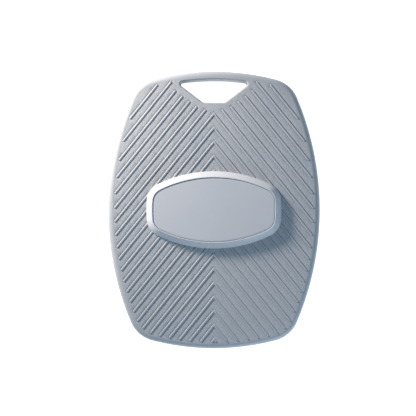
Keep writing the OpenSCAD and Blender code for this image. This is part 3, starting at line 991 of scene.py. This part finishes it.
# %% The recipe
def make_finish(name, colour, other, roughness, grain_size, grain_depth, softness=0.5,
                drift_size=0.06, smears=0.08, scratches=0.00002, speck=0.05, dusty=None,
                specular=0.5, **shader):
    """Makes a material. colour and other are the two colours that drift into each other, and
    roughness is (low, high). Sizes, grain_depth and scratches are in metres. smears is how
    much smoother a smear is, speck how much the grain varies the colour, and dusty, where
    dust settles, is (low, high, share, colour). What is left goes to the shader as it is."""
    finish = bpy.data.materials.new(name)
    finish.use_nodes = True
    tree = finish.node_tree
    surface = tree.nodes["Principled BSDF"]
    grain = place(tree, "Group", {"Size": grain_size, "Softness": softness}, node_tree=fine_grain)
    drift = place(tree, "Group", {"Colour": (*colour, 1.0), "Other": (*other, 1.0),
                                  "Size": drift_size}, node_tree=colour_drift)
    marks = place(tree, "Group", {"Size": drift_size / 2}, node_tree=handling)

    specks = place(tree, "MapRange", {"Value": grain.outputs["Speck"], "To Min": 1.0 - speck,
                                      "To Max": 1.0 + speck}).outputs[0]
    colour = place(tree, "VectorMath", {0: drift.outputs["Colour"], 1: specks},
                   operation="MULTIPLY").outputs[0]
    if dusty is not None:
        low, high, share, dust_colour = dusty
        settled = place(tree, "Group", {"Low": low, "High": high}, node_tree=dust)
        share = place(tree, "Math", {0: settled.outputs["Dust"], 1: share}, operation="MULTIPLY")
        colour = blend_colours(tree, share.outputs[0], colour, (*dust_colour, 1.0))
    tree.links.new(colour, surface.inputs["Base Color"])

    dull = place(tree, "MapRange", {"Value": drift.outputs["Drift"], "To Min": roughness[0],
                                    "To Max": roughness[1]}).outputs[0]
    smear = place(tree, "Math", {0: marks.outputs["Smear"], 1: -smears}, operation="MULTIPLY")
    dull = place(tree, "Math", {0: dull, 1: smear.outputs[0]}, operation="ADD", use_clamp=True)
    tree.links.new(dull.outputs[0], surface.inputs["Roughness"])

    relief = place(tree, "Bump", {"Strength": 1.0, "Distance": grain_depth,
                                  "Height": grain.outputs["Height"]})
    scored = place(tree, "Bump", {"Strength": 1.0, "Distance": scratches,
                                  "Height": marks.outputs["Scratch"],
                                  "Normal": relief.outputs[0]}, invert=True)
    tree.links.new(scored.outputs[0], surface.inputs["Normal"])
    surface.inputs["Specular IOR Level"].default_value = specular
    for socket, value in shader.items():
        surface.inputs[socket.replace("_", " ")].default_value = value
    return finish


# %% [markdown]
# ## The finishes
# The cover is one shot of soft, cool grey elastomer, but the tool gives it three finishes:
# a stippled field, smoother ribs, where a knee rubs, and a smooth border. Badge and plate
# are harder and a little shinier. Foams, sole and glue each get the look of their own stuff.

# %% Cover finishes
GREY = (0.415, 0.435, 0.46)
COOL_GREY = (0.385, 0.41, 0.44)
EARTH = (0.52, 0.50, 0.46)
cover_field = make_finish("cover_field", GREY, COOL_GREY, (0.58, 0.68), 0.0013, 0.0003, 0.45,
                          scratches=0.00001, speck=0.14, specular=0.4)
cover_border = make_finish("cover_border", GREY, COOL_GREY, (0.44, 0.54), 0.0007, 0.00003, 0.6,
                           speck=0.02, dusty=(0.003, 0.012, 0.25, EARTH), specular=0.45)
cover_ribs = make_finish("cover_ribs", GREY, COOL_GREY, (0.5, 0.6), 0.0009, 0.00007, 0.55,
                         smears=0.1, speck=0.05, specular=0.45)

# %% Badge finishes
bezel_satin = make_finish("bezel_satin", (0.575, 0.595, 0.625), (0.55, 0.575, 0.61), (0.34, 0.42),
                          0.0006, 0.000012, 0.7, smears=0.1, scratches=0.000008, speck=0.01)
plate_satin = make_finish("plate_satin", (0.53, 0.55, 0.585), (0.51, 0.53, 0.57), (0.38, 0.46),
                          0.0005, 0.000008, 0.7, smears=0.12, scratches=0.000008, speck=0.01)
backing_plastic = make_finish("backing_plastic", (0.035, 0.036, 0.038), (0.05, 0.05, 0.052),
                              (0.4, 0.55), 0.0007, 0.00004, speck=0.1)

# %% Foams, sole and glue
soft_foam = make_finish("soft_foam", (0.70, 0.72, 0.74), (0.62, 0.64, 0.65), (0.85, 0.95), 0.0016,
                        0.0009, 0.25, drift_size=0.03, smears=0.0, speck=0.25, specular=0.2)
firm_foam = make_finish("firm_foam", (0.055, 0.06, 0.068), (0.08, 0.085, 0.092), (0.72, 0.85), 0.0011,
                        0.00025, 0.3, drift_size=0.03, smears=0.0, speck=0.22, specular=0.3)
sole_rubber = make_finish("sole_rubber", (0.045, 0.048, 0.053), (0.065, 0.067, 0.07), (0.62, 0.78),
                          0.0008, 0.00008, 0.5, speck=0.12, scratches=0.00004,
                          dusty=(0.0, 0.004, 0.35, (0.27, 0.25, 0.22)), specular=0.4)
glue = make_finish("glue", (0.72, 0.60, 0.36), (0.62, 0.49, 0.27), (0.12, 0.35), 0.004, 0.0002, 0.9,
                   drift_size=0.02, smears=0.2, specular=0.5, Coat_Weight=0.4)
print("finishes:", len(bpy.data.materials))

# %% [markdown]
# ## Putting the pad together
# Each piece is made, given its finish and put on the pad's root in place of the CAD node
# that it stands for, which is hidden. The three glue films and the tape are right as they
# are, so they only get the glue's look.

# %% The pieces
def fit_piece(piece, node):
    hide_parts(node)
    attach(piece, "root")
    return piece


pad_cover = fit_piece(make_cover([cover_field, cover_border, cover_ribs]), "top_skin")
comfort_block = fit_piece(make_comfort_foam([soft_foam]), "comfort_foam")
support_block = fit_piece(make_support_foam([firm_foam]), "support_foam")
base_sole = fit_piece(make_sole([sole_rubber]), "base_tray")
badge_rim = fit_piece(make_bezel([bezel_satin]), "badge_bezel")
badge_face = fit_piece(make_plate([plate_satin]), "badge_plate")
back_ring = fit_piece(make_backing_ring([backing_plastic]), "badge_backing_ring")
for node in ("skin_bond_film", "foam_bond_film", "base_bond_film", "badge_plate_tape"):
    for place_for_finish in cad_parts[node].material_slots:
        place_for_finish.material = glue

# %% [markdown]
# ## Floor and light
# The pad lies on a white sweep. One warm lamp stands low on the upper left, near enough to
# fade across the pad, so that rim and ribs show their shape by shading alone. A large lamp
# would blur the thin lines beside the ribs. A weak card from the lower right lifts the far
# sides, and the sky fills the shadows with a cool, even light. The floor glows a little by
# itself, so that it stays white right up to the pad.

# %% Floor
FLOOR_REACH = 6.0        # in metres
FLOOR_GAP = 0.0004       # how far the floor lies below the sole, in metres
floor_mesh = bpy.data.meshes.new("floor")
floor_mesh.from_pydata([(x * FLOOR_REACH, y * FLOOR_REACH, -FLOOR_GAP)
                        for x, y in ((-1, -1), (1, -1), (1, 1), (-1, 1))], [], [(0, 1, 2, 3)])
floor = bpy.data.objects.new("floor", floor_mesh)
bpy.context.scene.collection.objects.link(floor)
paper = bpy.data.materials.new("paper")
paper.use_nodes = True
paper_surface = paper.node_tree.nodes["Principled BSDF"]
for socket, value in {"Base Color": (0.8, 0.8, 0.8, 1.0), "Roughness": 0.9,
                      "Specular IOR Level": 0.1, "Emission Color": (1.0, 1.0, 1.0, 1.0),
                      "Emission Strength": 0.95}.items():
    paper_surface.inputs[socket].default_value = value
floor_mesh.materials.append(paper)
print("floor:", 2 * FLOOR_REACH, "m wide")

# %% Light
def hang_light(name, lamp, azimuth, elevation, distance, aim, power, colour):
    """Hangs a lamp on a dome round the pad, and turns it to a point of the pad, in metres."""
    lamp.energy = power
    lamp.color = colour
    light = bpy.data.objects.new(name, lamp)
    turn, rise = math.radians(azimuth), math.radians(elevation)
    light.location = distance * Vector((math.cos(rise) * math.cos(turn),
                                        math.cos(rise) * math.sin(turn), math.sin(rise)))
    light.rotation_euler = (Vector(aim) - light.location).to_track_quat("-Z", "Y").to_euler()
    bpy.context.scene.collection.objects.link(light)
    print(f"{name}: {power} W, {distance} m away")


key = bpy.data.lights.new("key", "SPOT")
key.shadow_soft_size = 0.075
key.spot_size = math.radians(60.0)
key.spot_blend = 1.0
hang_light("key", key, azimuth=140.0, elevation=20.5, distance=0.8, aim=(-0.045, 0.04, 0.03),
           power=46.5, colour=(1.0, 0.885, 0.795))
card = bpy.data.lights.new("card", "AREA")
card.shape = "DISK"
card.size = 0.2
hang_light("card", card, azimuth=-65.0, elevation=20.0, distance=0.9, aim=(0.0, 0.0, 0.02),
           power=2.1, colour=(0.86, 0.97, 1.08))

sky = bpy.data.worlds.new("sky")
sky.use_nodes = True
sky_fill = sky.node_tree.nodes["Background"]
sky_fill.inputs["Color"].default_value = (0.70, 0.98, 1.26, 1.0)
sky_fill.inputs["Strength"].default_value = 0.31
sky_shown = place(sky.node_tree, "Background", {"Color": (1.0, 1.0, 1.0, 1.0), "Strength": 1.0})
sky_mix = place(sky.node_tree, "MixShader", {
    0: place(sky.node_tree, "LightPath").outputs["Is Camera Ray"],
    1: sky_fill.outputs[0], 2: sky_shown.outputs[0]})
sky.node_tree.links.new(sky_mix.outputs[0], sky.node_tree.nodes["World Output"].inputs["Surface"])
bpy.context.scene.world = sky
bpy.context.scene.view_settings.view_transform = "Standard"
